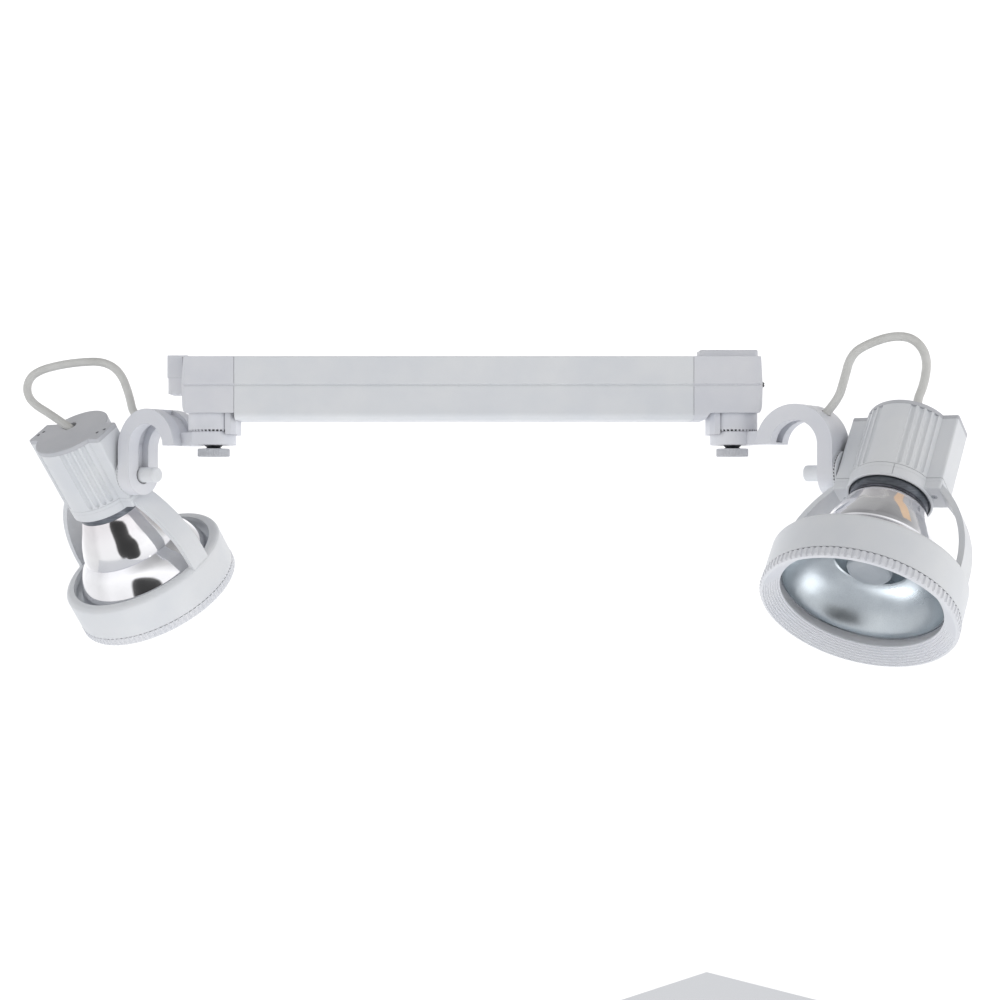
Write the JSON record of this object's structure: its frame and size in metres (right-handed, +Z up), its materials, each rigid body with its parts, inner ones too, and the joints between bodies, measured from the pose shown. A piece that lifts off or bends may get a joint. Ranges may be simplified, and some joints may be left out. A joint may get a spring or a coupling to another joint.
{
  "type": "track lighting fixture",
  "caption": "Ceiling track fixture: slim gear box with two hooked swivel arms, each carrying a tilting reflector lamp in a yoke ring",
  "frame": {"origin": "centre of the gear box's flat top, midway between the two swivel axes", "axes": "+Z up, out of the seating face towards the track; +X along the gear box towards the end with the adapter pad"},
  "size_m": [0.683, 0.3659, 0.229],
  "materials": {
    "white_paint": "satin powder coat",
    "white_plastic": "fine matt moulding",
    "black_plastic": "gloss moulding",
    "brass": "plain brass",
    "steel": "zinc plated sheet",
    "grey_plastic": "moulded plastic",
    "dark_steel": "dark oxide",
    "ceramic": "unglazed ceramic",
    "mirror_coat": "bright mirror coating",
    "satin_aluminium": "satin vacuum-coated aluminium",
    "grey_enamel": "grey satin enamel",
    "glass": "clear quartz",
    "cable_jacket": "smooth silicone jacket"
  },
  "bodies": {
    "gear_box": {"box_extrusion": "white_paint", "end_cap_left": "white_plastic", "end_cap_right": "white_plastic", "end_button": "black_plastic", "track_adapter": "white_plastic", "contact_blades": "brass", "gear_tray": "steel", "ballast_left": "steel", "ballast_right": "steel", "terminal_block": "grey_plastic", "swivel_boss_right": "white_paint", "swivel_boss_left": "white_paint", "boss_nuts": "steel"},
    "track_latch": {"latch_slide": "white_plastic"},
    "arm_body_right": {"arm_right": "white_paint", "swivel_bush_right": "brass", "tilt_ratchet_right": "white_paint", "cable_right": "cable_jacket"},
    "swivel_clamp_right": {"swivel_screw_right": "white_paint", "lock_washer_right": "dark_steel"},
    "tilt_clamp_right": {"tilt_knob_right": "white_paint"},
    "lamp_head_right": {"housing_right": "white_paint", "housing_skirt_right": "white_paint", "top_cap_right": "white_plastic", "cap_screws_right": "dark_steel", "cable_clamp_right": "black_plastic", "tilt_disc_right": "white_paint", "yoke_ring_right": "white_paint", "hub_screws_right": "dark_steel", "collar_right": "dark_steel", "lamp_holder_right": "ceramic", "lamp_base_right": "ceramic", "reflector_shell_right": "mirror_coat", "reflector_bowl_right": "satin_aluminium", "shield_cap_right": "grey_enamel", "burner_right": "glass"},
    "front_ring_body_right": {"front_ring_right": "white_paint"},
    "arm_body_left": {"arm_left": "white_paint", "swivel_bush_left": "brass", "tilt_ratchet_left": "white_paint", "cable_left": "cable_jacket"},
    "swivel_clamp_left": {"swivel_screw_left": "white_paint", "lock_washer_left": "dark_steel"},
    "tilt_clamp_left": {"tilt_knob_left": "white_paint"},
    "lamp_head_left": {"housing_left": "white_paint", "housing_skirt_left": "white_paint", "top_cap_left": "white_plastic", "cap_screws_left": "dark_steel", "cable_clamp_left": "black_plastic", "tilt_disc_left": "white_paint", "yoke_ring_left": "white_paint", "hub_screws_left": "dark_steel", "collar_left": "dark_steel", "lamp_holder_left": "ceramic", "lamp_base_left": "ceramic", "reflector_shell_left": "mirror_coat", "reflector_bowl_left": "satin_aluminium", "shield_cap_left": "grey_enamel", "burner_left": "glass"},
    "front_ring_body_left": {"front_ring_left": "white_paint"}
  },
  "joints": [
    {"name": "latch_travel", "type": "slide", "parent": "gear_box", "child": "track_latch", "axis": [0, 0, 1], "range_m": [0, 0.003]},
    {"name": "swivel_right", "type": "hinge", "parent": "gear_box", "child": "arm_body_right", "pos_m": [0.1878, 0, -0.0627], "axis": [0, 0, 1], "range_deg": [-65.5, 134.5]},
    {"name": "swivel_clamp_turn_right", "type": "hinge", "parent": "arm_body_right", "child": "swivel_clamp_right", "pos_m": [0.1878, 0, -0.0627], "axis": [0, 0, -1], "continuous": true},
    {"name": "tilt_right", "type": "hinge", "parent": "arm_body_right", "child": "lamp_head_right", "pos_m": [0.29016, -0.07035, -0.08365], "axis": [0.8241, -0.5664, 0], "range_deg": [-52.9, 82.1], "deforming": ["cable_right"]},
    {"name": "tilt_clamp_turn_right", "type": "hinge", "parent": "arm_body_right", "child": "tilt_clamp_right", "pos_m": [0.29016, -0.07035, -0.08365], "axis": [-0.8241, 0.5664, 0], "continuous": true},
    {"name": "front_ring_turn_right", "type": "hinge", "parent": "lamp_head_right", "child": "front_ring_body_right", "pos_m": [0.29016, -0.07035, -0.08365], "axis": [-0.3417, -0.4971, -0.7976], "range_deg": [0, 25]},
    {"name": "swivel_left", "type": "hinge", "parent": "gear_box", "child": "arm_body_left", "pos_m": [-0.1878, 0, -0.0627], "axis": [0, 0, 1], "range_deg": [-65.8, 134.2]},
    {"name": "swivel_clamp_turn_left", "type": "hinge", "parent": "arm_body_left", "child": "swivel_clamp_left", "pos_m": [-0.1878, 0, -0.0627], "axis": [0, 0, -1], "continuous": true},
    {"name": "tilt_left", "type": "hinge", "parent": "arm_body_left", "child": "lamp_head_left", "pos_m": [-0.29052, 0.06981, -0.08365], "axis": [-0.8271, 0.5621, 0], "range_deg": [-54.2, 80.8], "deforming": ["cable_left"]},
    {"name": "tilt_clamp_turn_left", "type": "hinge", "parent": "arm_body_left", "child": "tilt_clamp_left", "pos_m": [-0.29052, 0.06981, -0.08365], "axis": [0.8271, -0.5621, 0], "continuous": true},
    {"name": "front_ring_turn_left", "type": "hinge", "parent": "lamp_head_left", "child": "front_ring_body_left", "pos_m": [-0.29052, 0.06981, -0.08365], "axis": [0.3288, 0.4838, -0.8111], "range_deg": [0, 25]}
  ]
}
